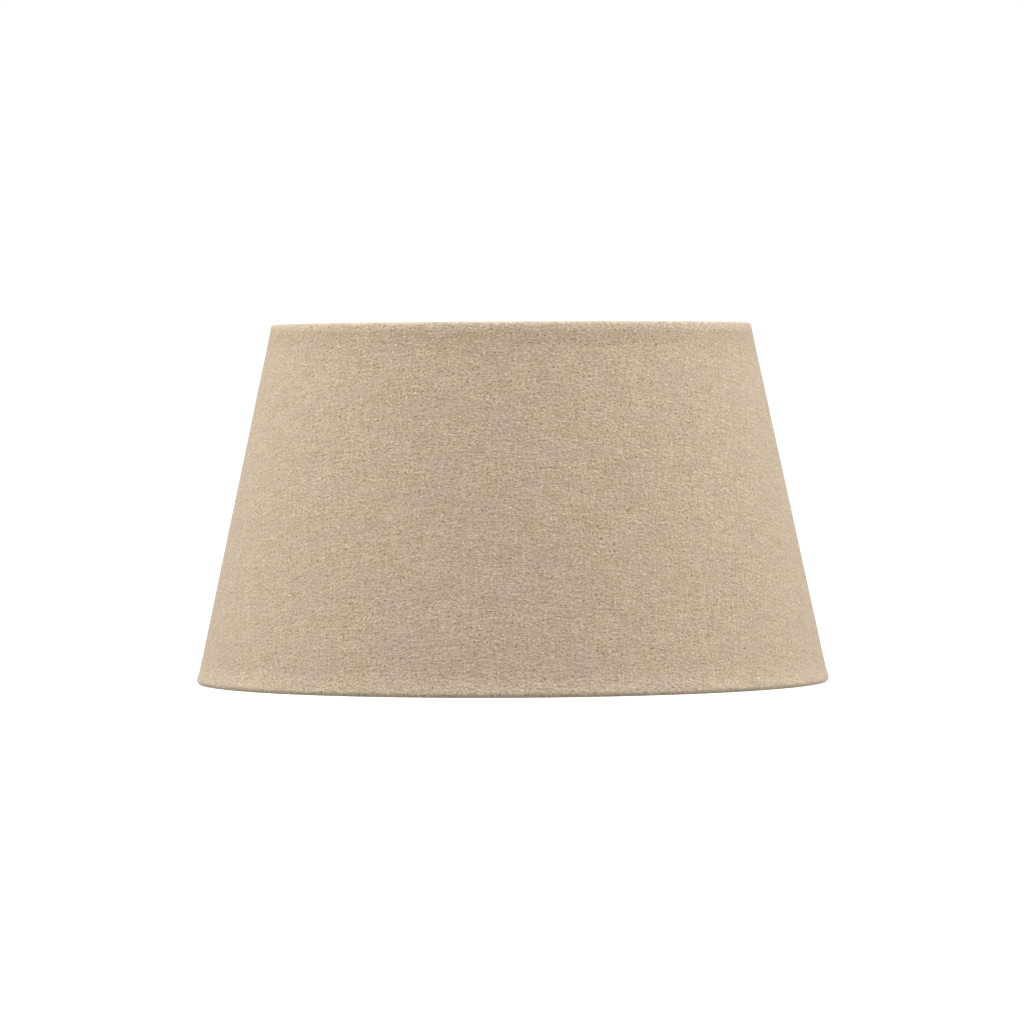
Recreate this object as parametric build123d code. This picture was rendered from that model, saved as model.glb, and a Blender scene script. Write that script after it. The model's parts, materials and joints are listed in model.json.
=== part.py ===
from build123d import *
import os
from math import atan2, cos, degrees, sin

# Tapered lamp shade: linen laminated to a styrene liner, rolled round two wire rings, with a spider and a
# reversible gimbal that carries the lampholder ring. Millimetres, +Z up. The origin is the centre of the
# bottom rim, on the surface that the shade stands on. The front faces -Y and the seam is at the back, +Y.

# The two rings and what is wrapped round them
WIRE_R = 1.5
BOTTOM_RING_R = 197.55
TOP_RING_R = 149.5
RING_RISE = 222.0
TAPE_T = 0.15
LINER_T = 0.3
CLOTH_T = 0.5
TURN_IN = 11.0
EASE_R = 2.5

# The seam at the back
CLOTH_LAP_W = 12.0
LINER_LAP_W = 14.0
SEAM_TAPE_W = 9.0
LAP_END_GAP = 3.5
LINER_LAP_END_GAP = 12.0
SEAM_TAPE_END_GAP = 6.0

# The spider
ARM_ANGLES = {"back": 90.0, "left": 210.0, "right": 330.0}
PIVOT_DROP = 40.0
ARM_FLAT_AT_RING = 10.0
ARM_FLAT_AT_HOOP = 17.0
ARM_BEND_R = 7.0
SNIP_CLEARANCE = 0.2
SNIP_W = 0.8

# The gimbal
HOOP_R = 50.0
HOOP_T = 1.2
HOOP_H = 10.0
STRIP_T = 1.2
STRIP_W = 10.0
TAB_FACE_X = 49.0
LEG_BEND_R = 3.0
LEG_STRAIGHT = 6.0
GIMBAL_DROP = 35.0
FOOT_START_R = 22.5
FOOT_BEND_R = 31.0
RIVET_R = 1.6
RIVET_PLAY = 0.05
RIVET_HEAD_R = 3.1
RIVET_HEAD_H = 1.3
RIVET_TAIL_R = 2.6
RIVET_TAIL_H = 1.0
FRICTION_WASHER_R = 4.5
FRICTION_WASHER_T = 0.7
BACKING_WASHER_R = 4.0
BACKING_WASHER_T = 0.7
SIDE_PLAY = 0.2
STOP_R = 1.0
STOP_PLAY = 0.1
STOP_RISE = 3.5
PRESSED_EDGE_R = 0.3

# The lampholder ring and the reducer that lies in it
HOLDER_OUTER_R = 28.0
HOLDER_HOLE_R = 21.0
HOLDER_T = 1.5
REDUCER_FLANGE_R = 25.0
REDUCER_FLANGE_T = 1.5
REDUCER_SPIGOT_R = 20.7
REDUCER_SPIGOT_H = 3.0
REDUCER_BORE_R = 14.5
REDUCER_EDGE_R = 0.4

# Worked out from the sizes above
TAPER = atan2(BOTTOM_RING_R - TOP_RING_R, RING_RISE)
TAPED_R = WIRE_R + TAPE_T
ROLL_SHIFT = LINER_T / 2
ROLL_R = TAPED_R + LINER_T / 2 + CLOTH_T / 2
CLOTH_FACE = TAPED_R + LINER_T + CLOTH_T
BOTTOM_RING_Z = ROLL_R + CLOTH_T / 2 - ROLL_SHIFT * sin(TAPER)
TOP_RING_Z = BOTTOM_RING_Z + RING_RISE
PIVOT_Z = TOP_RING_Z - PIVOT_DROP
HOLDER_Z = PIVOT_Z - GIMBAL_DROP

UP_SLANT = Vector(-sin(TAPER), 0, cos(TAPER))
OUTWARD = Vector(cos(TAPER), 0, sin(TAPER))
BOTTOM_EDGE = (Vector(BOTTOM_RING_R, 0, BOTTOM_RING_Z), UP_SLANT)
TOP_EDGE = (Vector(TOP_RING_R, 0, TOP_RING_Z), -UP_SLANT)


def place(edge, along, out):
    """A point of the wall's section: along the slant from a ring's centre, and outward from it."""
    centre, inward = edge
    return centre + inward * along + OUTWARD * out


def ring_wire(centre_r, z, radius=WIRE_R):
    """A closed wire ring about the Z axis."""
    return Pos(0, 0, z) * Torus(centre_r, radius)


def cone_band(gap, inner, outer):
    """A conical band of the wall between two outward offsets, ending gap short of each ring's centre."""
    corners = [
        place(BOTTOM_EDGE, gap, inner),
        place(BOTTOM_EDGE, gap, outer),
        place(TOP_EDGE, gap, outer),
        place(TOP_EDGE, gap, inner),
    ]
    return revolve(make_face(Polyline(*corners, close=True)), Axis.Z)


def seam_strip(width, gap, inner, outer):
    """The part of a conical band that lies along the seam at the back."""
    reach = BOTTOM_RING_R * 1.1
    window = Pos(0, reach / 2, BOTTOM_RING_Z + RING_RISE / 2) * Box(width, reach, RING_RISE * 1.1)
    return cone_band(gap, inner, outer) & window


def rolled_face(edge, side):
    """One face of the cloth, from the outer wall round a ring to the cut edge of the turn-in.

    side is the face's offset from the middle of the cloth, positive away from the ring. The cloth wraps
    the ring, eases back to the liner's inner face and lies flat there.
    """
    inward = edge[1]
    roll = ROLL_R + side
    snug = TAPED_R + CLOTH_T / 2 + side
    lay = TAPED_R - CLOTH_T / 2 - side
    ease_out = TAPED_R - CLOTH_T / 2 - EASE_R
    ease_span = TAPED_R + CLOTH_T / 2 + EASE_R
    ease_along = (ease_span**2 - ease_out**2) ** 0.5
    start = place(edge, 0, ROLL_SHIFT + roll)
    tip = place(edge, -roll, ROLL_SHIFT)
    under = place(edge, 0, ROLL_SHIFT - roll)
    touch = place(edge, snug * ease_along / ease_span, snug * ease_out / ease_span)
    landing = place(edge, ease_along, lay)
    cut = place(edge, TURN_IN, lay)
    return [
        ThreePointArc(start, tip, under),
        TangentArc(under, touch, tangent=inward),
        TangentArc(landing, touch, tangent=-inward),
        Line(landing, cut),
    ]


def cloth_section():
    """The closed section of the linen, with its roll and turn-in at both rings."""
    half = CLOTH_T / 2
    edges = []
    for edge in (BOTTOM_EDGE, TOP_EDGE):
        inner = rolled_face(edge, -half)
        outer = rolled_face(edge, half)
        edges += inner + outer + [Line(inner[-1] @ 1, outer[-1] @ 1)]
    for out in (CLOTH_FACE - CLOTH_T, CLOTH_FACE):
        edges.append(Line(place(BOTTOM_EDGE, 0, out), place(TOP_EDGE, 0, out)))
    return make_face(edges)


def arm_snip(angle):
    """The hole and the slit that let one spider arm through the top turn-in."""
    hole = Pos(TOP_RING_R - TURN_IN / 2, 0, TOP_RING_Z) * Rot(0, 90, 0) * Cylinder(
        WIRE_R + SNIP_CLEARANCE, TURN_IN
    )
    depth = 2 * TAPED_R + 2 * CLOTH_T
    middle = place(TOP_EDGE, TURN_IN / 2 + TAPED_R, TAPED_R - depth / 2)
    slit = Pos(*middle) * Rot(0, -degrees(TAPER), 0) * Box(depth, SNIP_W, TURN_IN)
    return Rot(0, 0, angle) * (hole + slit)


def linen_cover():
    """The linen: the wall, both rolled edges with their turn-ins, and the lap with its edge folded under."""
    wall = revolve(cloth_section(), Axis.Z)
    lap = seam_strip(CLOTH_LAP_W, LAP_END_GAP, CLOTH_FACE, CLOTH_FACE + TAPE_T + 2 * CLOTH_T)
    cover = wall + lap - seam_tape()
    for angle in ARM_ANGLES.values():
        cover -= arm_snip(angle)
    return cover


def seam_tape():
    """The tape between the linen wall and its lap."""
    return seam_strip(SEAM_TAPE_W, SEAM_TAPE_END_GAP, CLOTH_FACE, CLOTH_FACE + TAPE_T)


def styrene_liner():
    """The liner behind the linen, with its own lap on the inside."""
    shell = cone_band(0, TAPED_R, TAPED_R + LINER_T)
    lap = seam_strip(LINER_LAP_W, LINER_LAP_END_GAP, TAPED_R - LINER_T, TAPED_R)
    return shell + lap


def ring_tape(centre_r, z):
    """A sleeve of tape round a ring wire."""
    return ring_wire(centre_r, z, TAPED_R) - ring_wire(centre_r, z)


def arm_sweep():
    """One untrimmed spider arm in the XZ plane, from the top ring's centre into the hoop's wall."""
    path = FilletPolyline(
        (TOP_RING_R, 0, TOP_RING_Z),
        (TOP_RING_R - ARM_FLAT_AT_RING, 0, TOP_RING_Z),
        (HOOP_R + HOOP_T + ARM_FLAT_AT_HOOP, 0, PIVOT_Z),
        (HOOP_R, 0, PIVOT_Z),
        radius=ARM_BEND_R,
    )
    return sweep(Plane(origin=path @ 0, z_dir=path % 0) * Circle(WIRE_R), path=path)


def spider_arm(angle):
    """One arm, saddled where it is welded to the top ring and to the hoop."""
    hoop_core = Pos(0, 0, PIVOT_Z) * Cylinder(HOOP_R + HOOP_T, 2 * HOOP_H)
    return Rot(0, 0, angle) * (arm_sweep() - ring_wire(TOP_RING_R, TOP_RING_Z) - hoop_core)


def top_ring_tape():
    """The top ring's tape, cut out where the arms leave the ring."""
    tape = ring_tape(TOP_RING_R, TOP_RING_Z)
    reach = 2 * TAPED_R
    stub = Pos(TOP_RING_R - reach / 2, 0, TOP_RING_Z) * Rot(0, 90, 0) * Cylinder(WIRE_R, reach)
    for angle in ARM_ANGLES.values():
        tape -= Rot(0, 0, angle) * stub
    return tape


def across(x, radius, length):
    """A cylinder along X at the pivot's height, from x outward by length."""
    return Pos(x + length / 2, 0, PIVOT_Z) * Rot(0, 90, 0) * Cylinder(radius, length)


def stop_dimple(up):
    """A pressed dimple on the hoop's inner face that a leg's edge comes to rest on."""
    y = STRIP_W / 2 + STOP_PLAY + STOP_R
    root_x = HOOP_R + HOOP_T / 2
    tip_x = TAB_FACE_X - STRIP_T / 2 + STOP_R
    place_y_z = Pos(0, y, up * STOP_RISE)
    return place_y_z * (across(tip_x, STOP_R, root_x - tip_x) + Pos(tip_x, 0, PIVOT_Z) * Sphere(STOP_R))


def gimbal_hoop():
    """The band that the arms carry, with both rivet holes and the four stop dimples."""
    centre = Pos(0, 0, PIVOT_Z)
    hoop = centre * Cylinder(HOOP_R + HOOP_T, HOOP_H) - centre * Cylinder(HOOP_R, HOOP_H)
    hoop = fillet(hoop.edges().filter_by(GeomType.CIRCLE), PRESSED_EDGE_R)
    hoop -= across(-2 * HOOP_R, RIVET_R, 4 * HOOP_R)
    for up in (-1, 1):
        dimple = stop_dimple(up)
        hoop += dimple + mirror(dimple, Plane.YZ)
    return hoop


def pivot_rivet():
    """The right-hand rivet, fixed in the hoop: a domed head outside and a peened tail inside."""
    head_x = HOOP_R + HOOP_T
    tail_x = TAB_FACE_X - STRIP_T - SIDE_PLAY - BACKING_WASHER_T
    tail_top = Vector(tail_x - RIVET_TAIL_H, 0, PIVOT_Z)
    head_top = Vector(head_x + RIVET_HEAD_H, 0, PIVOT_Z)
    corners = [
        (tail_x, 0, PIVOT_Z + RIVET_TAIL_R),
        (tail_x, 0, PIVOT_Z + RIVET_R),
        (head_x, 0, PIVOT_Z + RIVET_R),
        (head_x, 0, PIVOT_Z + RIVET_HEAD_R),
    ]
    edges = [
        TangentArc(tail_top, corners[0], tangent=(0, 0, 1)),
        Polyline(*corners),
        TangentArc(head_top, corners[-1], tangent=(0, 0, 1)),
        Line(tail_top, head_top),
    ]
    return revolve(make_face(edges), Axis((0, 0, PIVOT_Z), (1, 0, 0)))


def washer(x, outer_r, thickness):
    """A flat washer on the right-hand rivet, from x outward by its thickness."""
    return across(x, outer_r, thickness) - across(x, RIVET_R + RIVET_PLAY, thickness)


def gimbal_leg():
    """The right-hand strip leg: a round-ended tab, a slope inward, and a foot under the lampholder ring."""
    tab_x = TAB_FACE_X - STRIP_T / 2
    foot_z = HOLDER_Z - STRIP_T / 2
    line = FilletPolyline(
        (tab_x, 0, PIVOT_Z + STRIP_W / 2),
        (tab_x, 0, PIVOT_Z - LEG_STRAIGHT),
        (FOOT_BEND_R, 0, foot_z),
        (FOOT_START_R, 0, foot_z),
        radius=LEG_BEND_R,
    )
    profile = Plane.XZ * trace(Plane.XZ.to_local_coords(line), STRIP_T)
    strip = extrude(profile, STRIP_W / 2, both=True)
    drop = GIMBAL_DROP + STRIP_T
    outline = across(0, STRIP_W / 2, 2 * HOOP_R)
    outline += Pos(HOOP_R, 0, PIVOT_Z - drop / 2) * Box(2 * HOOP_R, STRIP_W, drop)
    return (strip & outline) - across(tab_x - STRIP_T, RIVET_R + RIVET_PLAY, 2 * STRIP_T)


def lampholder_ring():
    """The flat ring that a lampholder of the larger size clamps, and that holds the reducer."""
    ring = Cylinder(HOLDER_OUTER_R, HOLDER_T) - Cylinder(HOLDER_HOLE_R, HOLDER_T)
    ring = fillet(ring.edges().filter_by(GeomType.CIRCLE), PRESSED_EDGE_R)
    return Pos(0, 0, HOLDER_Z + HOLDER_T / 2) * ring


def reducer_ring():
    """The loose insert: a flange on the lampholder ring, a spigot in its hole, and the smaller bore."""
    top = HOLDER_Z + HOLDER_T + REDUCER_FLANGE_T
    flange = Cylinder(REDUCER_FLANGE_R, REDUCER_FLANGE_T, align=(Align.CENTER, Align.CENTER, Align.MAX))
    flange = fillet(flange.edges().group_by(Axis.Z)[-1], REDUCER_EDGE_R)
    spigot_h = REDUCER_FLANGE_T + REDUCER_SPIGOT_H
    spigot = Cylinder(REDUCER_SPIGOT_R, spigot_h, align=(Align.CENTER, Align.CENTER, Align.MAX))
    spigot = chamfer(spigot.edges().group_by(Axis.Z)[0], REDUCER_EDGE_R)
    bore = Cylinder(REDUCER_BORE_R, 3 * spigot_h)
    return Pos(0, 0, top) * (flange + spigot - bore)


def main():
    """Builds every sub-part and writes one STEP file for each."""
    parts = {
        "linen_cover": linen_cover(),
        "styrene_liner": styrene_liner(),
        "seam_tape": seam_tape(),
        "top_ring": ring_wire(TOP_RING_R, TOP_RING_Z),
        "bottom_ring": ring_wire(BOTTOM_RING_R, BOTTOM_RING_Z),
        "top_ring_tape": top_ring_tape(),
        "bottom_ring_tape": ring_tape(BOTTOM_RING_R, BOTTOM_RING_Z),
        "gimbal_hoop": gimbal_hoop(),
        "lampholder_ring": lampholder_ring(),
        "reducer_ring": reducer_ring(),
    }
    for name, angle in ARM_ANGLES.items():
        parts[f"spider_arm_{name}"] = spider_arm(angle)
    backing_x = TAB_FACE_X - STRIP_T - SIDE_PLAY - BACKING_WASHER_T
    pairs = {
        "pivot_rivet": pivot_rivet(),
        "friction_washer": washer(TAB_FACE_X, FRICTION_WASHER_R, FRICTION_WASHER_T),
        "backing_washer": washer(backing_x, BACKING_WASHER_R, BACKING_WASHER_T),
        "gimbal_leg": gimbal_leg(),
    }
    for name, shape in pairs.items():
        parts[f"{name}_right"] = shape
        parts[f"{name}_left"] = mirror(shape, Plane.YZ)
    os.makedirs("parts", exist_ok=True)
    for name, shape in parts.items():
        export_step(shape, f"parts/{name}.step")


main()
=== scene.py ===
import json
import math

import bpy
import numpy as np
from mathutils import Matrix, Vector


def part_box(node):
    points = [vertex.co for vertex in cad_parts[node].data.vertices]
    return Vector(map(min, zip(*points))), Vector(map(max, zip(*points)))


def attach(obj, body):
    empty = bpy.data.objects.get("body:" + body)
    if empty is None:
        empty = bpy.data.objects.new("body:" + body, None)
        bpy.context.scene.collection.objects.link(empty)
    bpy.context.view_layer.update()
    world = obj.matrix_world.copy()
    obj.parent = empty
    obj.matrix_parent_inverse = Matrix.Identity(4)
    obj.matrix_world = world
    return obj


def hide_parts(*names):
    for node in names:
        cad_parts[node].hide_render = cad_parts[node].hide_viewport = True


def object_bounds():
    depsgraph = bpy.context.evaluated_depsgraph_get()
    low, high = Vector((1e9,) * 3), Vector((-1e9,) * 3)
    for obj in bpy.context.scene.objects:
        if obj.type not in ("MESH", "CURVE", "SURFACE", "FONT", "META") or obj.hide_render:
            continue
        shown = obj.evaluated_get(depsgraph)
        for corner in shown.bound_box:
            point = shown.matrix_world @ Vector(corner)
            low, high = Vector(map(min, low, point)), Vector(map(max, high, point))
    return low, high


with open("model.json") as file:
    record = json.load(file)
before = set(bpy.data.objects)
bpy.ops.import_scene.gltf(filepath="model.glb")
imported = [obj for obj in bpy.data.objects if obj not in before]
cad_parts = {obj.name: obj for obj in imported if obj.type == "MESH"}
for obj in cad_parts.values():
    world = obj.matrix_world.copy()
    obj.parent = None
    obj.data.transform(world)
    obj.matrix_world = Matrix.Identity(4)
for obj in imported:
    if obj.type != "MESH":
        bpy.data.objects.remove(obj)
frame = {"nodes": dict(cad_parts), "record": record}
cad_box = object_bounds()

MM = 0.001

# ---------------------------------------------------------------------------------------------------------
# Sizes. The rings come from the frame; the cloth's own sizes are those of the CAD cover.
# ---------------------------------------------------------------------------------------------------------
CLOTH_T = 0.5 * MM
LINER_T = 0.3 * MM
TURN_IN = 11.0 * MM
EASE_R = 2.5 * MM
LAP_HALF = 6.0 * MM
SEAM_TAPE_T = 0.15 * MM
ARM_ANGLES = {"back": math.pi, "left": -math.pi / 3, "right": math.pi / 3}
EDGE_ZONE = 14.0 * MM
MIDDLE_ROWS = 24
SEAM_ZONE = math.radians(8.5)


def ring_of(node):
    """Radius of a ring's centre line, height of its centre and radius of its wire."""
    lo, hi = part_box(node)
    wire = (hi.z - lo.z) / 2
    return (hi.x - lo.x) / 2 - wire, (lo.z + hi.z) / 2, wire


BOTTOM_R, BOTTOM_Z, WIRE_R = ring_of("bottom_ring")
TOP_R, TOP_Z, _ = ring_of("top_ring")
TAPED_R = ring_of("bottom_ring_tape")[2]
TAPER = math.atan2(BOTTOM_R - TOP_R, TOP_Z - BOTTOM_Z)
SLANT = math.hypot(BOTTOM_R - TOP_R, TOP_Z - BOTTOM_Z)
CLOTH_OUT = TAPED_R + LINER_T + CLOTH_T / 2
LINER_OUT = TAPED_R + LINER_T / 2
ROLL_SHIFT = LINER_T / 2
ROLL_R = CLOTH_OUT - ROLL_SHIFT


def smooth(x, lo, hi):
    """0 below lo, 1 above hi, and a smooth step between."""
    t = np.clip((x - lo) / (hi - lo), 0.0, 1.0)
    return t * t * (3 - 2 * t)


def ripple(angle, seed, waves):
    """Uneven, periodic variation round the shade, about -1 to 1, with up to that many waves."""
    rng = np.random.default_rng(seed)
    total = np.zeros_like(angle)
    for k in range(1, waves + 1):
        total += rng.normal() * np.cos(k * angle + rng.uniform(0, 2 * math.pi))
    return total / math.sqrt(waves)


# ---------------------------------------------------------------------------------------------------------
# The wall's shape: where the laminate stands in or out of the straight cone between the rings
# ---------------------------------------------------------------------------------------------------------
FLARE_W = 12.0 * MM
BOTTOM_INSET, BOTTOM_BULGE = 0.26 * MM, 0.22 * MM
TOP_INSET, TOP_BULGE = 0.12 * MM, 0.16 * MM
WAVE_H = 0.07 * MM
SEAM_CALM = 30.0 * MM


def wall_offset(along, angle, bottom):
    """How far the laminate stands out of the straight cone, at a distance from one ring along the slant."""
    inset, bulge, seed = (BOTTOM_INSET, BOTTOM_BULGE, 11) if bottom else (TOP_INSET, TOP_BULGE, 23)
    width = FLARE_W * (1 + 0.18 * ripple(angle, seed, 9))
    edge = np.clip(1 - along / width, 0.0, 1.0) ** 2
    uneven = 1 + 0.28 * ripple(angle, seed + 1, 14)
    return -inset + (inset + bulge * uneven) * edge


def shape_of_wall(up, angle):
    """The same over the whole wall, up from the bottom ring: both ends and the slight waves between them."""
    share = smooth(up, 0.15 * SLANT, 0.85 * SLANT)
    ends = wall_offset(up, angle, True) * (1 - share) + wall_offset(SLANT - up, angle, False) * share
    waves = WAVE_H * ripple(angle, 5, 7) * np.sin(math.pi * up / SLANT)
    calm = smooth(np.abs(math.pi - np.abs(angle)) * TOP_R, LAP_HALF, SEAM_CALM)
    return ends * calm + waves * calm


# ---------------------------------------------------------------------------------------------------------
# The section: rows along the middle of the cloth's thickness, from cut edge to cut edge. A row has its place
# and normal as (radius, height), and its distances along the slant and out of the ring it belongs to.
# ---------------------------------------------------------------------------------------------------------
ROLL_STEPS, SNUG_STEPS, EASE_STEPS, FLAT_STEPS = 15, 7, 9, 5
EDGE_STEPS = 12
TURN_IN_FOLLOWS = (1 * MM, 5 * MM)
PUCKER_H = 0.35 * MM
PUCKER_FROM = 3.5 * MM
ROLL_LAP, INNER_LAP = 0.18, 0.6
LAP_EASE = 7.0 * MM
OUTWARD = np.array([math.cos(TAPER), math.sin(TAPER)])
UP_SLANT = np.array([-math.sin(TAPER), math.cos(TAPER)])


def arc(centre, radius, start, end, count):
    """Points and outward unit vectors of an arc in (along, out), angles measured from the out axis."""
    t = np.linspace(start, end, count)
    unit = np.stack([np.sin(t), np.cos(t)], 1)
    return np.array(centre) + radius * unit, unit


def edge_rows(bottom):
    """One edge's rows, from the wall over the ring and down inside to the turn-in's cut edge."""
    ease_span = TAPED_R + CLOTH_T / 2 + EASE_R
    ease_out = TAPED_R - CLOTH_T / 2 - EASE_R
    ease_along = math.sqrt(ease_span**2 - ease_out**2)
    touch = math.atan2(ease_along, ease_out)
    roll, roll_n = arc((0, ROLL_SHIFT), ROLL_R, 0, -math.pi, ROLL_STEPS)
    snug, snug_n = arc((0, 0), TAPED_R + CLOTH_T / 2, -math.pi, touch - 2 * math.pi, SNUG_STEPS)
    ease, ease_n = arc((ease_along, ease_out), EASE_R, touch - math.pi, 0, EASE_STEPS)
    flat_along = np.linspace(ease_along, TURN_IN, FLAT_STEPS + 1)[1:]
    flat = np.stack([flat_along, np.full(FLAT_STEPS, TAPED_R - CLOTH_T / 2)], 1)
    flat_n = np.tile([0.0, -1.0], (FLAT_STEPS, 1))
    points = np.concatenate([roll[1:], snug[1:], ease[1:], flat])
    normals = np.concatenate([roll_n[1:], snug_n[1:], -ease_n[1:], flat_n])
    centre = np.array([BOTTOM_R, BOTTOM_Z]) if bottom else np.array([TOP_R, TOP_Z])
    inward = UP_SLANT if bottom else -UP_SLANT
    return {
        "along": points[:, 0],
        "out": points[:, 1],
        "place": centre + points[:, :1] * inward + points[:, 1:] * OUTWARD,
        "normal": normals[:, :1] * inward + normals[:, 1:] * OUTWARD,
    }


def middle_rows():
    """Heights up the slant of the wall's evenly spaced rows, between the two finer edge zones."""
    return np.linspace(EDGE_ZONE, SLANT - EDGE_ZONE, MIDDLE_ROWS + 2)[1:-1]


def sheet_rows():
    """All rows of the linen from the bottom cut edge over the wall to the top cut edge."""
    bottom, top = edge_rows(True), edge_rows(False)
    fine = np.linspace(0, EDGE_ZONE / MM, EDGE_STEPS) * MM
    up = np.concatenate([fine, middle_rows(), SLANT - fine[::-1]])
    wall = np.array([BOTTOM_R, BOTTOM_Z]) + up[:, None] * UP_SLANT + CLOTH_OUT * OUTWARD
    place = np.concatenate([bottom["place"][::-1], wall, top["place"]])
    normal = np.concatenate([bottom["normal"][::-1], np.tile(OUTWARD, (len(up), 1)), top["normal"]])
    n_edge, n_wall = len(bottom["along"]), len(up)
    part = np.array(["bottom"] * n_edge + ["wall"] * n_wall + ["top"] * n_edge)
    along = np.concatenate([bottom["along"][::-1], up, top["along"]])
    out = np.concatenate([bottom["out"][::-1], np.full(n_wall, CLOTH_OUT), top["out"]])
    steps = np.hypot(*np.diff(place, axis=0).T)
    run = np.concatenate([[0], np.cumsum(steps)])
    run -= run[n_edge]
    return {"place": place, "normal": normal, "part": part, "along": along, "out": out, "run": run}


def row_shift(rows, angle):
    """How far each row stands out of its plain place, along OUTWARD, at each angle."""
    shift = np.zeros((len(rows["along"]), len(angle)))
    puckers = PUCKER_H * np.clip(0.3 + ripple(angle, 53, 90), 0, 1.6)
    for i, (part, along, out) in enumerate(zip(rows["part"], rows["along"], rows["out"])):
        if part == "wall":
            shift[i] = shape_of_wall(np.full_like(angle, along), angle)
            continue
        up = along if part == "bottom" else SLANT - along
        edge = 0.0 if part == "bottom" else SLANT
        if out > ROLL_SHIFT and along <= 0:
            lean = ((out - ROLL_SHIFT) / ROLL_R) ** 2
            shift[i] = shape_of_wall(np.full_like(angle, edge), angle) * lean
        elif along > 0:
            shift[i] = shape_of_wall(np.full_like(angle, up), angle) * smooth(along, *TURN_IN_FOLLOWS)
        if part == "bottom" and along > 0:
            shift[i] -= puckers * smooth(along, PUCKER_FROM, TURN_IN)
    return shift


def lap_share(rows):
    """How much of the lap's rise each row keeps: all of it on the wall, and least on the rolls."""
    share = np.ones(len(rows["along"]))
    for i, (part, along, out) in enumerate(zip(rows["part"], rows["along"], rows["out"])):
        if part == "wall":
            share[i] = ROLL_LAP + (1 - ROLL_LAP) * smooth(min(along, SLANT - along), 0.0, LAP_EASE)
        elif along <= 0:
            share[i] = ROLL_LAP * (0.4 + 0.6 * abs(out - ROLL_SHIFT) / ROLL_R)
        else:
            share[i] = ROLL_LAP + INNER_LAP * smooth(along, 1 * MM, LAP_EASE)
    return share


# ---------------------------------------------------------------------------------------------------------
# The columns: an anchor angle, an offset from it in metres, the lap's rise, and the place in the flat cloth
# ---------------------------------------------------------------------------------------------------------
NEAR_ARM = np.array([0.4, 1.0, 1.7, 2.6, 4.0, 6.5, 10.0, 15.0]) * MM
LAP_RISE = CLOTH_T + SEAM_TAPE_T
FOLD_R = 0.27 * MM
HEM_RUN = 3.0 * MM
COLUMNS_BETWEEN = 96
LAP_RISES = (-12.5 * MM, -6.0 * MM)
FOLD_SWELLS = (-4.6 * MM, -2.4 * MM)
LAP_COLUMNS = (-15, *range(-13, -4), -4.4, -3.8, -3.2, -2.6, -1.6, -0.4, 0.4, 1.6, 3, 4.5)
HEM_COLUMNS = (4.5, 3.0, 1.6, 0.4, -0.4, -1.6)


def column_list():
    """Columns from the under layer's cut edge round to the over layer's folded edge and its hem."""
    columns = []

    def add(anchor, offset, rise=0.0, cloth=None):
        columns.append((anchor, offset, rise, offset if cloth is None else cloth))

    for offset in np.concatenate([[-LAP_HALF, -5 * MM], -NEAR_ARM[3::-1], NEAR_ARM]):
        add(-math.pi, offset)
    third = 2 * math.pi / 3
    between = np.linspace(SEAM_ZONE, third - SEAM_ZONE, COLUMNS_BETWEEN)
    for k in range(3):
        for angle in between:
            add(-math.pi + k * third + angle, 0.0)
        if k < 2:
            for offset in np.concatenate([-NEAR_ARM[::-1], NEAR_ARM]):
                add(-math.pi + (k + 1) * third, offset)
    for offset in np.array(LAP_COLUMNS) * MM:
        rise = LAP_RISE * smooth(offset, *LAP_RISES)
        rise += 2 * FOLD_R * smooth(offset, *FOLD_SWELLS)
        add(math.pi, offset, float(rise))
    fold = LAP_HALF - FOLD_R - CLOTH_T / 2
    for t in np.linspace(0, math.pi, 7):
        add(math.pi, fold + FOLD_R * math.sin(t), LAP_RISE + FOLD_R * (1 + math.cos(t)), fold + FOLD_R * t)
    for offset in np.array([*HEM_COLUMNS, -HEM_RUN / MM]) * MM:
        add(math.pi, offset, LAP_RISE, 2 * fold - offset + math.pi * FOLD_R)
    return [np.array(c) for c in zip(*columns)]


ARM_HOLE = WIRE_R + 0.25 * MM
SNIP_HALF = 0.4 * MM
SNIP_FLARE = 0.5 * MM
SNIP_REACH = 9.0 * MM


def snip_gaps(rows):
    """Half-width of the snip at each row of the top turn-in, and which rows are cut."""
    radius, height = rows["place"].T
    inside = (rows["part"] == "top") & (rows["out"] < ROLL_SHIFT)
    drop = height - TOP_Z
    past = inside & (drop < ARM_HOLE)
    hole = np.sqrt(np.clip(ARM_HOLE**2 - drop**2, 0, None)) * (rows["along"] < 1.5 * MM)
    flare = SNIP_FLARE * smooth(rows["along"], 0, TURN_IN)
    return np.where(past, np.maximum(hole, SNIP_HALF + flare), SNIP_HALF), past


def grid_faces(n_rows, n_columns, is_gap=lambda row, column: False):
    """The quads of a grid of points, leaving out those that are in a gap."""
    faces = []
    for i in range(n_rows - 1):
        for j in range(n_columns - 1):
            if not is_gap(i, j):
                a = i * n_columns + j
                faces.append((a, a + 1, a + n_columns + 1, a + n_columns))
    return faces


def around_axis(radius, angle, height):
    """Points from cylinder coordinates, with angle 0 at the front."""
    return np.stack([radius * np.sin(angle), -radius * np.cos(angle), height], -1)


def mesh_object(name, points, faces, **attributes):
    """A mesh object from arrays, smooth shaded, with its point attributes."""
    mesh = bpy.data.meshes.new(name)
    mesh.from_pydata(points.tolist(), [], faces)
    mesh.polygons.foreach_set("use_smooth", [True] * len(mesh.polygons))
    for key, values in attributes.items():
        kind = "FLOAT_VECTOR" if values.ndim == 2 else "FLOAT"
        layer = mesh.attributes.new(key, kind, "POINT")
        layer.data.foreach_set("vector" if values.ndim == 2 else "value", values.astype(np.float32).ravel())
    mesh.update()
    made = bpy.data.objects.new(name, mesh)
    bpy.context.scene.collection.objects.link(made)
    return made


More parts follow.
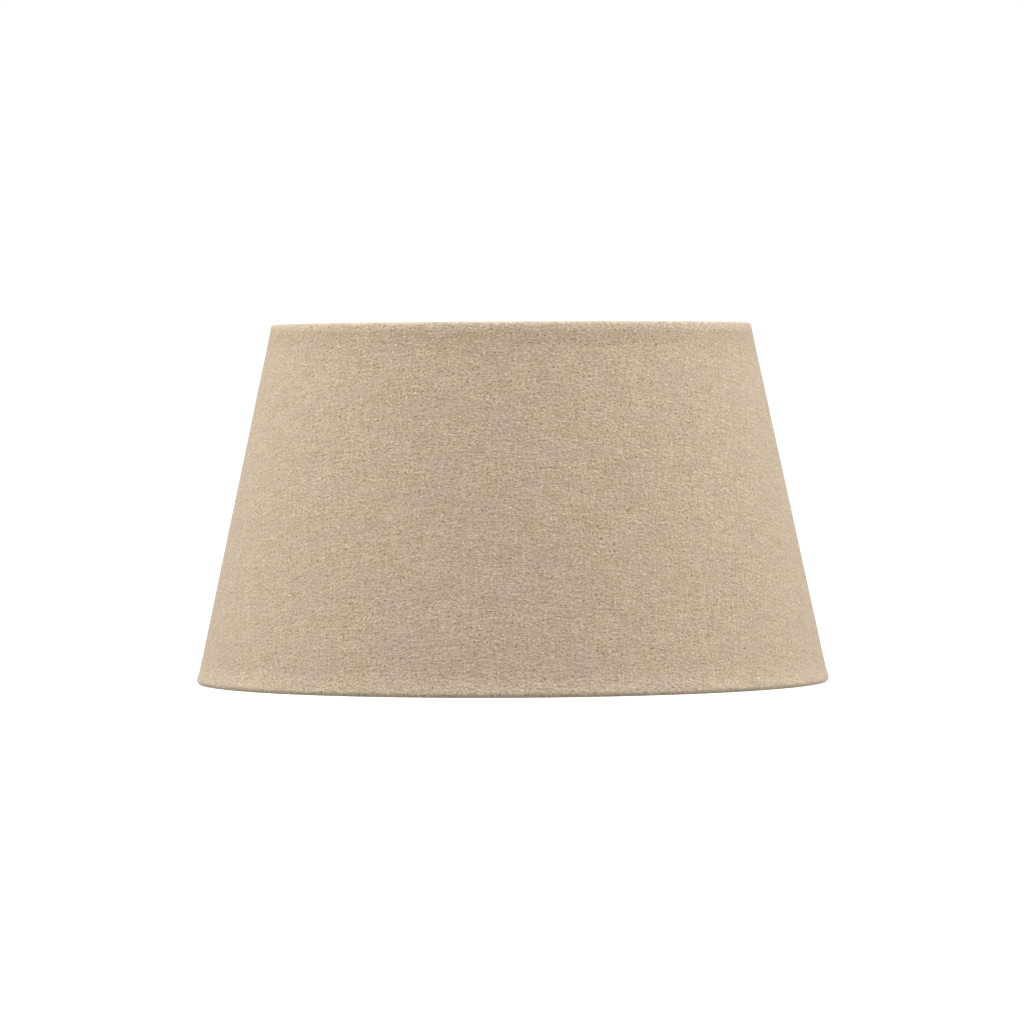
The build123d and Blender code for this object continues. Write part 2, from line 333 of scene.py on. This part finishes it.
def flat_place(run, angle):
    """A point's place in the flat cloth, which is a sector of a ring, with the weft level at the front."""
    apex = (BOTTOM_R + CLOTH_OUT * math.cos(TAPER)) / math.sin(TAPER)
    turn = angle * math.sin(TAPER)
    reach = apex - run
    return around_axis(reach, turn, np.zeros_like(turn))


def linen_cover():
    """The linen: one sheet with its rolled edges, snipped turn-ins, lap and folded hem."""
    rows = sheet_rows()
    anchor, offset, rise, cloth = column_list()
    gaps, cut = snip_gaps(rows)
    at_arm = np.any([np.isclose(np.abs(anchor), abs(a)) for a in ARM_ANGLES.values()], axis=0)
    radius = rows["place"][:, :1]
    spread = np.clip(1 - (np.abs(offset) - SNIP_HALF) / (SNIP_REACH - SNIP_HALF), 0, 1) * at_arm
    moved = offset + np.sign(offset) * (gaps[:, None] - SNIP_HALF) * spread
    angle = anchor + moved / radius
    shift = row_shift(rows, anchor + offset / TOP_R)
    lift = rise * lap_share(rows)[:, None]
    out_r = shift * OUTWARD[0] + lift * rows["normal"][:, :1]
    out_z = shift * OUTWARD[1] + lift * rows["normal"][:, 1:]
    r = radius + out_r
    z = rows["place"][:, 1:] + out_z
    points = around_axis(r, angle, z)
    run = np.broadcast_to(rows["run"][:, None], r.shape)
    flat = flat_place(run, anchor + cloth / radius)
    pair = (np.abs(np.abs(offset) - SNIP_HALF) < 1e-6) & at_arm

    def in_snip(i, j):
        return pair[j] and pair[j + 1] and cut[i] and cut[i + 1]

    faces = grid_faces(*r.shape, is_gap=in_snip)
    # Painted light and shade near the rings, carried to the material as a point attribute
    band = edge_band(rows, anchor + offset / TOP_R)
    cover = mesh_object("linen_shade_cover", points.reshape(-1, 3), faces, flat=flat.reshape(-1, 3),
                        band=band.ravel())
    thicken(cover, CLOTH_T)
    width = flat[..., 0].max() - flat[..., 0].min()
    length = flat[..., 1].max() - flat[..., 1].min()
    du = np.linalg.norm(np.diff(flat, axis=1), axis=2)[:-1]
    dv = np.linalg.norm(np.diff(flat, axis=0), axis=2)[:, :-1]
    return cover, (float(width), float(length)), float((du * dv).sum())


# Where the painted highlight and the painted shade near the rings begin and end
ROLL_PALES = (-1.5 * MM, 0.5 * MM)
TOP_CREST_DARKENS = (0.8 * MM, 2.3 * MM)
BOTTOM_CREST_FADES = (2.0 * MM, 2.7 * MM)
TOP_ROLL_ENDS = (1.2 * MM, 3.2 * MM)
DARK_BEGINS = (2 * MM, 5 * MM)
DARK_ENDS = (9.5 * MM, 17 * MM)
PALE_ENDS = (5 * MM, 13 * MM)


def edge_band(rows, angle):
    """Painted light and shade on the doubled cloth near the rings: 1, a painted highlight, on the rolls'
    outer sides and just over the bottom one; -1, painted shade, in the strip under the top roll, and -2,
    painted shade, on its crest."""
    part, along, out = rows["part"], rows["along"], rows["out"]
    depth = np.where(part == "wall", 0.0, -along)
    outside = smooth(out, *ROLL_PALES) * (along <= 0)
    top_roll = (part == "top") * outside * (1 - 3 * smooth(depth, *TOP_CREST_DARKENS))
    bottom_roll = (part == "bottom") * outside * (1 - smooth(depth, *BOTTOM_CREST_FADES))
    up = np.where(part == "wall", along, SLANT / 2)[:, None]
    down = SLANT - up
    crest = (top_roll + bottom_roll)[:, None] + 1 - smooth(down, *TOP_ROLL_ENDS)
    dark_end = DARK_ENDS[1] + 1.2 * MM * ripple(angle, 31, 12)
    pale_end = PALE_ENDS[1] + 1.5 * MM * ripple(angle, 37, 12)
    dark = smooth(down, *DARK_BEGINS) * (1 - smooth(down, DARK_ENDS[0], dark_end))
    pale = 1 - smooth(up, PALE_ENDS[0], pale_end)
    return crest + pale * (1 + 0.15 * ripple(angle, 41, 16)) - dark * (1 + 0.15 * ripple(angle, 43, 16))


def thicken(piece, thickness):
    """Gives a sheet its thickness, half to each side."""
    solid = piece.modifiers.new("thickness", "SOLIDIFY")
    solid.thickness = thickness
    solid.offset = 0


WELD_R, WELD_L = 2.7 * MM, 1.9 * MM
WELD_SINK = 0.1 * MM
WELD_TIP_SINK = 0.04 * MM
WELD_LOBES = (2, 3, 5, 7)


def weld_bead(name, angle):
    """The bead where a spider arm is welded to the hoop: an uneven collar that runs out along the wire."""
    lo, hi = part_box("gimbal_hoop")
    rng = np.random.default_rng(int(math.degrees(angle)) + 400)
    turns, rings = 28, 7
    around = np.linspace(0, 2 * math.pi, turns, endpoint=False)
    lobes = sum(rng.uniform(0.03, 0.09) * np.cos(k * around + rng.uniform(0, 6.3)) for k in WELD_LOBES)
    share = np.linspace(0, 1, rings)[:, None]
    collar = WELD_R - (WELD_R - WIRE_R) * np.sin(share * math.pi / 2) ** 0.8
    radius = collar + (WELD_R - WIRE_R) * lobes * (1 - share) - WELD_TIP_SINK * share
    reach = WELD_L * share * (1 + 0.6 * lobes)
    side = radius * np.cos(around)
    high = radius * np.sin(around)
    out = np.sqrt(hi.x**2 - side**2) - WELD_SINK + reach
    x = out * math.sin(angle) + side * math.cos(angle)
    y = -out * math.cos(angle) + side * math.sin(angle)
    points = np.stack([x, y, (lo.z + hi.z) / 2 + high], -1)
    faces = []
    for i in range(rings - 1):
        for j in range(turns):
            a, b = i * turns + j, i * turns + (j + 1) % turns
            faces.append((a, b, b + turns, a + turns))
    faces.append(tuple(range(turns))[::-1])
    faces.append(tuple((rings - 1) * turns + j for j in range(turns)))
    return mesh_object(name, points.reshape(-1, 3), faces)


LINER_STEPS = 8
LINER_COLUMNS = 300
LINER_START = (-7, -5, -2, 0, 2, 5, 8, 12, 15)
LINER_END = (-15, -10, -7.6, -7.2, -6.8, -5, -2, 0, 2, 5, 7)
LINER_LAP_GAP = 0.02 * MM
LINER_LAP_BEGINS = (-9 * MM, -7 * MM)
LINER_LAP_ENDS = (9 * MM, 14 * MM)


def styrene_liner():
    """The liner behind the linen, following its shape, with its own lap on the inside."""
    low_edge = np.linspace(0, EDGE_ZONE / MM, LINER_STEPS) * MM
    top_edge = SLANT - np.linspace(EDGE_ZONE / MM, 0, LINER_STEPS) * MM
    up = np.concatenate([low_edge, middle_rows(), top_edge])
    start = np.array(LINER_START) * MM
    seam = np.array(LINER_END) * MM
    body = np.linspace(-math.pi + SEAM_ZONE, math.pi - SEAM_ZONE, LINER_COLUMNS)
    anchor = np.concatenate([np.full(len(start), -math.pi), body, np.full(len(seam), math.pi)])
    offset = np.concatenate([start, np.zeros(len(body)), seam])
    step_in = -(LINER_T + LINER_LAP_GAP) * smooth(seam, *LINER_LAP_BEGINS)
    under = np.concatenate([np.zeros(len(start) + len(body)), step_in])
    place = np.array([BOTTOM_R, BOTTOM_Z]) + up[:, None] * UP_SLANT
    radius = place[:, :1] + LINER_OUT * OUTWARD[0]
    angle = anchor + offset / radius
    shift = np.array([shape_of_wall(np.full(len(anchor), u), anchor + offset / TOP_R) for u in up])
    inner = smooth(np.minimum(up, SLANT - up), *LINER_LAP_ENDS)[:, None]
    shift = np.minimum(shift, 0.0) + under * inner
    r = radius + shift * OUTWARD[0]
    z = place[:, 1:] + (LINER_OUT + shift) * OUTWARD[1]
    points = around_axis(r, angle, z)
    liner = mesh_object("styrene_liner_sheet", points.reshape(-1, 3), grid_faces(*r.shape))
    thicken(liner, LINER_T)
    return liner


# ---------------------------------------------------------------------------------------------------------
# Materials
# ---------------------------------------------------------------------------------------------------------
def srgb(red, green, blue):
    """Linear colour from 8-bit sRGB values."""
    def one(v):
        v /= 255
        return v / 12.92 if v <= 0.04045 else ((v + 0.055) / 1.055) ** 2.4
    return (one(red), one(green), one(blue), 1.0)


class Shader:
    """A material being made: one Principled node, and short calls for the nodes that feed it."""

    def __init__(self, name, **constants):
        self.material = bpy.data.materials.new(name)
        self.material.use_nodes = True
        self.tree = self.material.node_tree
        self.bsdf = self.tree.nodes["Principled BSDF"]
        for key, value in constants.items():
            self.bsdf.inputs[key.replace("_", " ")].default_value = value

    def feed(self, socket, value):
        if isinstance(value, bpy.types.NodeSocket):
            self.tree.links.new(value, socket)
        else:
            socket.default_value = value

    def math(self, operation, a, b=0.0, c=0.0):
        node = self.tree.nodes.new("ShaderNodeMath")
        node.operation = operation
        for socket, value in zip(node.inputs, (a, b, c)):
            self.feed(socket, value)
        return node.outputs[0]

    def vector(self, operation, a, b):
        node = self.tree.nodes.new("ShaderNodeVectorMath")
        node.operation = operation
        self.feed(node.inputs[0], a)
        self.feed(node.inputs[1], b)
        return node.outputs[0]

    def scaled(self, vector, sizes):
        """The vector with each part divided by a size in metres, so that noise of scale 1 has that size."""
        return self.vector("MULTIPLY", vector, tuple(1 / s for s in sizes))

    def split(self, vector):
        node = self.tree.nodes.new("ShaderNodeSeparateXYZ")
        self.feed(node.inputs[0], vector)
        return node.outputs

    def join(self, x, y, z=0.0):
        node = self.tree.nodes.new("ShaderNodeCombineXYZ")
        for socket, value in zip(node.inputs, (x, y, z)):
            self.feed(socket, value)
        return node.outputs[0]

    def noise(self, vector, detail=2.0, roughness=0.5, distortion=0.0):
        node = self.tree.nodes.new("ShaderNodeTexNoise")
        self.feed(node.inputs["Vector"], vector)
        node.inputs["Scale"].default_value = 1.0
        node.inputs["Detail"].default_value = detail
        node.inputs["Roughness"].default_value = roughness
        node.inputs["Distortion"].default_value = distortion
        return node.outputs[0]

    def mottle(self, place, sizes, **settings):
        """Noise with features of those sizes, in millimetres, along x, y and z."""
        return self.noise(self.scaled(place, [size * MM for size in sizes]), **settings)

    def ramp(self, value, lo, hi, to_lo=0.0, to_hi=1.0):
        """The value's range lo to hi, taken smoothly to to_lo to to_hi."""
        node = self.tree.nodes.new("ShaderNodeMapRange")
        node.interpolation_type = "SMOOTHSTEP"
        ends = {"Value": value, "From Min": lo, "From Max": hi, "To Min": to_lo, "To Max": to_hi}
        for key, end in ends.items():
            self.feed(node.inputs[key], end)
        return node.outputs[0]

    def mix(self, factor, a, b):
        node = self.tree.nodes.new("ShaderNodeMix")
        node.data_type = "RGBA"
        self.feed(node.inputs["Factor"], factor)
        self.feed(node.inputs["A"], a)
        self.feed(node.inputs["B"], b)
        return node.outputs["Result"]

    def attribute(self, name, output):
        node = self.tree.nodes.new("ShaderNodeAttribute")
        node.attribute_name = name
        return node.outputs[output]

    def place(self):
        """The point's place in the row frame, in metres: every piece's object sits at the origin."""
        return self.tree.nodes.new("ShaderNodeTexCoord").outputs["Object"]

    def bump(self, height, distance):
        node = self.tree.nodes.new("ShaderNodeBump")
        node.inputs["Strength"].default_value = 1.0
        node.inputs["Distance"].default_value = distance
        self.feed(node.inputs["Height"], height)
        return node.outputs[0]

    def finish(self, colour, roughness, normal=None):
        self.feed(self.bsdf.inputs["Base Color"], colour)
        self.feed(self.bsdf.inputs["Roughness"], roughness)
        if normal is not None:
            self.feed(self.bsdf.inputs["Normal"], normal)
        return self.material


WARP_PITCH = 1.30 * MM
WEFT_PITCH = 1.22 * MM
SWAY_H = 5 * MM
JITTER_SIZE = 2.6 * MM
LUMP_U, LUMP_V = 1.8 * MM, 1.6 * MM
LUMP_H, WEAVE_H, FIBRE_H = 2.3, 0.32, 0.25
# The relief below which painted shade darkens the pits between the yarns, and how strongly
PIT_LO, PIT_HI, PIT_SHADE_MIX = 0.5, 2.0, 0.37
BUMP_H = 0.32 * MM
# How far the painted light and shade near the rings changes each colour channel
PAINTED_LIGHT_DEPTH = (0.075, 0.09, 0.11)
YARN_PALE = srgb(213, 194, 168)
YARN_TAN = srgb(187, 166, 138)
YARN_ROSE = srgb(199, 177, 159)
# Painted shade in the pits between the yarns; also the colour of the dark specks and long dark slubs
PIT_SHADE_AND_DARK_SLUB = srgb(104, 84, 60)
PALE_SLUB = srgb(244, 230, 208)
FLECK = srgb(92, 62, 34)
FIBRE_SHEEN = srgb(246, 237, 214)


def linen_material():
    """Plain-weave linen of uneven, slubby yarns, with its grain along the flat cloth."""
    s = Shader("oatmeal_linen", Specular_IOR_Level=0.15, Sheen_Weight=0.4, Sheen_Roughness=0.5,
               Sheen_Tint=FIBRE_SHEEN)
    flat = s.attribute("flat", "Vector")
    u, v, _ = s.split(flat)

    def patchy(across, along, number, detail=2.0, roughness=0.5):
        """Noise in the flat cloth with that feature size in metres; each number is another pattern."""
        place = s.vector("ADD", s.scaled(flat, (across, along, 1)), (3.7 * number, 9.2 * number, number))
        return s.noise(place, detail=detail, roughness=roughness)

    def yarn_count(distance, sway_size, jitter, pitch, numbers):
        """Yarns counted across the cloth, with a slow sway and a jitter from crossing to crossing."""
        swayed = s.math("MULTIPLY_ADD", patchy(sway_size, sway_size, numbers[0]), SWAY_H, distance)
        jittered = s.math("MULTIPLY_ADD", patchy(JITTER_SIZE, JITTER_SIZE, numbers[1]), jitter, swayed)
        return s.math("DIVIDE", jittered, pitch)

    count_u = yarn_count(u, 26 * MM, 2.0 * MM, WARP_PITCH, (1, 3))
    count_v = yarn_count(v, 21 * MM, 1.8 * MM, WEFT_PITCH, (2, 4))
    sin_u = s.math("SINE", s.math("MULTIPLY", count_u, math.pi))
    sin_v = s.math("SINE", s.math("MULTIPLY", count_v, math.pi))
    warp_no = s.math("FLOOR", count_u)
    weft_no = s.math("FLOOR", count_v)

    def along_warp(pick, length):
        """Noise along each warp yarn, another for each yarn."""
        return s.noise(s.join(s.math("MULTIPLY", warp_no, pick), s.math("DIVIDE", v, length)), detail=2)

    def along_weft(pick, length):
        """Noise along each weft yarn, another for each yarn."""
        return s.noise(s.join(s.math("DIVIDE", u, length), s.math("MULTIPLY", weft_no, pick)), detail=2)

    def round_yarn(sine, slub, thin, thick):
        """A yarn's round face, thick and thin along its length."""
        return s.math("MULTIPLY", s.math("POWER", s.math("ABSOLUTE", sine), 0.6),
                      s.ramp(slub, 0.25, 0.75, thin, thick))

    # Over and under: each yarn dives at every other crossing
    round_u = round_yarn(sin_u, along_warp(3.17, 9 * MM), 0.35, 1.2)
    round_v = round_yarn(sin_v, along_weft(2.73, 11 * MM), 0.35, 1.4)
    warp_h = s.math("MULTIPLY_ADD", s.math("MULTIPLY", s.math("SIGN", sin_u), sin_v), 0.5, round_u)
    weft_h = s.math("MULTIPLY_ADD", s.math("MULTIPLY", s.math("SIGN", sin_v), sin_u), -0.5, round_v)
    weave = s.math("MAXIMUM", warp_h, weft_h)
    weft_on_top = s.math("GREATER_THAN", weft_h, warp_h)
    warp_on_top = s.math("SUBTRACT", 1.0, weft_on_top)

    # Lumps of the spun yarn, and its fibres
    lump = patchy(LUMP_U, LUMP_V, 5, detail=1, roughness=0.55)
    fibre = patchy(0.34 * MM, 0.30 * MM, 6, detail=2, roughness=0.6)
    relief = s.math("MULTIPLY_ADD", lump, LUMP_H, s.math("MULTIPLY", weave, WEAVE_H))
    relief = s.math("MULTIPLY_ADD", fibre, FIBRE_H, relief)

    # Each yarn's own colour, pinker patches, and painted shade in the pits between the yarns
    tone = s.math("ADD", s.math("MULTIPLY", weft_on_top, along_weft(2.37, 16 * MM)),
                  s.math("MULTIPLY", warp_on_top, along_warp(1.91, 14 * MM)))
    colour = s.mix(s.ramp(tone, 0.3, 0.7), YARN_TAN, YARN_PALE)
    patch = patchy(30 * MM, 14 * MM, 7, detail=3, roughness=0.6)
    colour = s.mix(s.ramp(patch, 0.45, 0.68, 0.0, 0.6), colour, YARN_ROSE)
    # Painted shade: the lower the relief between the yarns, the darker the colour
    colour = s.mix(s.ramp(relief, PIT_LO, PIT_HI, PIT_SHADE_MIX, 0.0), colour, PIT_SHADE_AND_DARK_SLUB)

    # Dark and pale specks, and long dark slubs
    specks = (
        ((1.7 * MM, 1.5 * MM, 9), (0.58, 0.78, 0, 0.75), PIT_SHADE_AND_DARK_SLUB),
        ((1.9 * MM, 1.5 * MM, 10), (0.58, 0.78, 0, 0.65), PALE_SLUB),
        ((11 * MM, 1.3 * MM, 11), (0.68, 0.80, 0, 0.55), PIT_SHADE_AND_DARK_SLUB),
    )
    for pattern, share, speck_colour in specks:
        colour = s.mix(s.ramp(patchy(*pattern, detail=1), *share), colour, speck_colour)

    # Painted light and shade where the cloth is doubled near the rings, and the rare bits of husk
    # Painted highlight where the value is above 0, painted shade where it is below
    band = s.attribute("band", "Fac")
    shade = s.join(*(s.math("MULTIPLY_ADD", band, deep, 1.0) for deep in PAINTED_LIGHT_DEPTH))
    colour = s.vector("MULTIPLY", colour, shade)
    fleck = patchy(2.4 * MM, 1.5 * MM, 8, detail=1)
    colour = s.mix(s.ramp(fleck, 0.76, 0.82, 0, 0.9), colour, FLECK)
    return s.finish(colour, s.ramp(fibre, 0.2, 0.8, 0.82, 0.96), s.bump(relief, BUMP_H))


def styrene_material():
    """Off-white styrene sheet: nearly even, a satin face with faint calendering marks and dust."""
    s = Shader("styrene_sheet", Specular_IOR_Level=0.4)
    place = s.place()
    cloud = s.mottle(place, (60, 60, 30), detail=4)
    fine = s.mottle(place, (1.5, 1.5, 9), detail=3)
    colour = s.mix(s.ramp(cloud, 0.3, 0.7), srgb(236, 231, 220), srgb(242, 239, 231))
    return s.finish(colour, s.ramp(fine, 0.2, 0.8, 0.38, 0.55), s.bump(fine, 0.02 * MM))


def enamel_material():
    """White powder coat on steel: orange peel, a little yellowing, gloss that varies."""
    s = Shader("white_powder_coat", Specular_IOR_Level=0.5, Coat_Weight=0.3, Coat_Roughness=0.2)
    place = s.place()
    peel = s.mottle(place, (1.1, 1.1, 1.1), detail=2)
    cloud = s.mottle(place, (18, 18, 18), detail=4)
    speck = s.mottle(place, (0.7, 0.7, 0.7), detail=1)
    colour = s.mix(s.ramp(cloud, 0.35, 0.7), srgb(212, 210, 203), srgb(203, 199, 188))
    colour = s.mix(s.ramp(speck, 0.78, 0.84, 0, 0.35), colour, srgb(150, 142, 128))
    return s.finish(colour, s.ramp(cloud, 0.3, 0.7, 0.26, 0.40), s.bump(peel, 0.035 * MM))


def steel_material(name, tone, rings):
    """Zinc-bright steel with turned marks round the pivot, rings millimetres wide, and dulled patches."""
    s = Shader(name, Metallic=1.0)
    place = s.place()
    x, y, z = s.split(place)
    lo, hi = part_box("pivot_rivet_right")
    high = s.math("SUBTRACT", z, (lo.z + hi.z) / 2)
    distance = s.math("SQRT", s.math("ADD", s.math("MULTIPLY", y, y), s.math("MULTIPLY", high, high)))
    turned = s.noise(s.join(s.math("DIVIDE", distance, rings * MM), s.math("DIVIDE", x, 1 * MM)), detail=3)
    stain = s.mottle(place, (2.5, 2.5, 2.5), detail=4)
    colour = s.mix(s.ramp(stain, 0.35, 0.7), srgb(*tone), srgb(*(0.86 * t for t in tone)))
    rough = s.math("ADD", s.ramp(turned, 0.3, 0.7, 0.22, 0.36), s.ramp(stain, 0.3, 0.7, 0.0, 0.14))
    return s.finish(colour, rough, s.bump(turned, 0.02 * MM))


def nylon_material():
    """Moulded white nylon: fine spark-eroded grain, faint flow lines and a trace of translucency."""
    s = Shader("moulded_nylon", Specular_IOR_Level=0.45, Subsurface_Weight=0.12, Subsurface_Scale=1.5 * MM)
    place = s.place()
    grain = s.mottle(place, (0.5, 0.5, 0.5), detail=3)
    flow = s.mottle(place, (22, 7, 12), detail=3, distortion=0.6)
    colour = s.mix(s.ramp(flow, 0.3, 0.7), srgb(230, 228, 222), srgb(222, 219, 209))
    return s.finish(colour, s.ramp(grain, 0.3, 0.7, 0.42, 0.58), s.bump(grain, 0.025 * MM))


def tape_material():
    """Double-sided tape: a yellowish film with a crinkled face."""
    s = Shader("double_sided_tape", Specular_IOR_Level=0.4)
    place = s.place()
    crinkle = s.mottle(place, (1.6, 1.6, 1.0), detail=3, distortion=0.8)
    colour = s.mix(s.ramp(crinkle, 0.3, 0.7), srgb(226, 219, 196), srgb(212, 202, 174))
    return s.finish(colour, s.ramp(crinkle, 0.3, 0.7, 0.45, 0.7), s.bump(crinkle, 0.06 * MM))


# ---------------------------------------------------------------------------------------------------------
# The pieces
# ---------------------------------------------------------------------------------------------------------
linen = linen_material()
styrene = styrene_material()
enamel = enamel_material()
rivet_steel = steel_material("rivet_steel", (196, 193, 188), 0.35)
washer_steel = steel_material("washer_steel", (182, 180, 177), 0.2)
nylon = nylon_material()
tape = tape_material()

cover, flat_size, flat_area = linen_cover()
cover.data.materials.append(linen)
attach(cover, "shade")
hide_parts("linen_cover")

liner = styrene_liner()
liner.data.materials.append(styrene)
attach(liner, "shade")
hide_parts("styrene_liner")

for side, angle in ARM_ANGLES.items():
    bead = weld_bead(f"weld_bead_{side}", angle)
    bead.data.materials.append(enamel)
    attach(bead, "shade")

FINISHES = {
    "tape": tape,
    "white_enamel": enamel,
    "rivet_steel": rivet_steel,
    "washer_steel": washer_steel,
    "white_nylon": nylon,
}
for subpart in frame["record"]["subparts"]:
    node = frame["nodes"][subpart["node"]]
    finish = FINISHES.get(subpart["material_slot"])
    if finish:
        node.data.materials.clear()
        node.data.materials.append(finish)


# ---------------------------------------------------------------------------------------------------------
# The studio: a pale floor, light from all round, a soft box at each side and overhead, and the camera
# ---------------------------------------------------------------------------------------------------------
FLOOR_HALF = 30.0
FLOOR_GREYS = ((0.93, 0.93, 0.93, 1), (0.96, 0.96, 0.96, 1))
FLOOR_MOTTLE = (0.4, 0.4, 0.4)
HORIZON_BAND = 0.1
LOW_LIGHT, LEVEL_LIGHT, HIGH_LIGHT = 0.40, 0.80, 0.96
CAMERA_AT = (0, -3.77, 0.191)
CAMERA_DOWN = math.radians(1.27)
CAMERA_ROLL = math.radians(-0.30)
CAMERA_LENS = 209.1
WHITE = (1, 1, 1, 1)


def floor():
    """A wide pale floor. It doesn't throw light back up, because the studio's own lower light does."""
    corners = [(x * FLOOR_HALF, y * FLOOR_HALF, 0) for x, y in ((-1, -1), (1, -1), (1, 1), (-1, 1))]
    mesh = bpy.data.meshes.new("floor")
    mesh.from_pydata(corners, [], [(0, 1, 2, 3)])
    made = bpy.data.objects.new("floor", mesh)
    bpy.context.scene.collection.objects.link(made)
    s = Shader("pale_floor", Specular_IOR_Level=0.1, Emission_Color=WHITE, Emission_Strength=0.3)
    mottle = s.noise(s.scaled(s.place(), FLOOR_MOTTLE), detail=3)
    mesh.materials.append(s.finish(s.mix(s.ramp(mottle, 0.3, 0.7), *FLOOR_GREYS), 0.9))
    made.visible_diffuse = False


def softbox(name, azimuth, elevation, distance, size, power):
    """A square soft light that faces the object. Azimuth 0 is in front and 90 to the right."""
    light = bpy.data.lights.new(name, "AREA")
    light.shape = "RECTANGLE"
    light.size = size
    light.size_y = size
    light.energy = power
    made = bpy.data.objects.new(name, light)
    bpy.context.scene.collection.objects.link(made)
    a, e = math.radians(azimuth), math.radians(elevation)
    away = Vector((math.sin(a) * math.cos(e), -math.cos(a) * math.cos(e), math.sin(e)))
    aim = (cad_box[0] + cad_box[1]) / 2
    made.location = aim + away * distance
    made.rotation_mode = "QUATERNION"
    made.rotation_quaternion = away.to_track_quat("Z", "Y")


def studio_light():
    """The camera sees white paper all round. Its light is dimmest from below, brightest from above."""
    world = bpy.data.worlds.new("studio")
    world.use_nodes = True
    bpy.context.scene.world = world
    tree = world.node_tree
    coords = tree.nodes.new("ShaderNodeTexCoord")
    split = tree.nodes.new("ShaderNodeSeparateXYZ")
    tree.links.new(coords.outputs["Generated"], split.inputs[0])

    def by_height(lowest, highest, least, most):
        node = tree.nodes.new("ShaderNodeMapRange")
        ends = {"From Min": lowest, "From Max": highest, "To Min": least, "To Max": most}
        for key, end in ends.items():
            node.inputs[key].default_value = end
        tree.links.new(split.outputs[2], node.inputs["Value"])
        return node.outputs[0]

    level = by_height(-HORIZON_BAND, HORIZON_BAND, LOW_LIGHT, LEVEL_LIGHT)
    rise = by_height(HORIZON_BAND, 1.0, 0.0, HIGH_LIGHT - LEVEL_LIGHT)
    total = tree.nodes.new("ShaderNodeMath")
    tree.links.new(level, total.inputs[0])
    tree.links.new(rise, total.inputs[1])
    light = tree.nodes["Background"]
    tree.links.new(total.outputs[0], light.inputs["Strength"])
    paper = tree.nodes.new("ShaderNodeBackground")
    rays = tree.nodes.new("ShaderNodeLightPath")
    choose = tree.nodes.new("ShaderNodeMixShader")
    tree.links.new(rays.outputs["Is Camera Ray"], choose.inputs[0])
    for socket, background in zip(choose.inputs[1:], (light, paper)):
        background.inputs["Color"].default_value = WHITE
        tree.links.new(background.outputs[0], socket)
    tree.links.new(choose.outputs[0], tree.nodes["World Output"].inputs["Surface"])


floor()
studio_light()
softbox("left_softbox", azimuth=-80, elevation=34, distance=1.2, size=0.9, power=6.3)
softbox("right_softbox", azimuth=74, elevation=34, distance=1.2, size=0.9, power=6.0)
softbox("overhead_softbox", azimuth=0, elevation=80, distance=1.3, size=1.3, power=5.5)

camera = bpy.data.objects.new("camera", bpy.data.cameras.new("camera"))
bpy.context.scene.collection.objects.link(camera)
camera.data.sensor_width = 36.0
camera.data.lens = CAMERA_LENS
camera.matrix_world = (
    Matrix.Translation(CAMERA_AT)
    @ Matrix.Rotation(math.pi / 2 - CAMERA_DOWN, 4, "X")
    @ Matrix.Rotation(CAMERA_ROLL, 4, "Z")
)
bpy.context.scene.camera = camera
bpy.context.scene.view_settings.view_transform = "Standard"
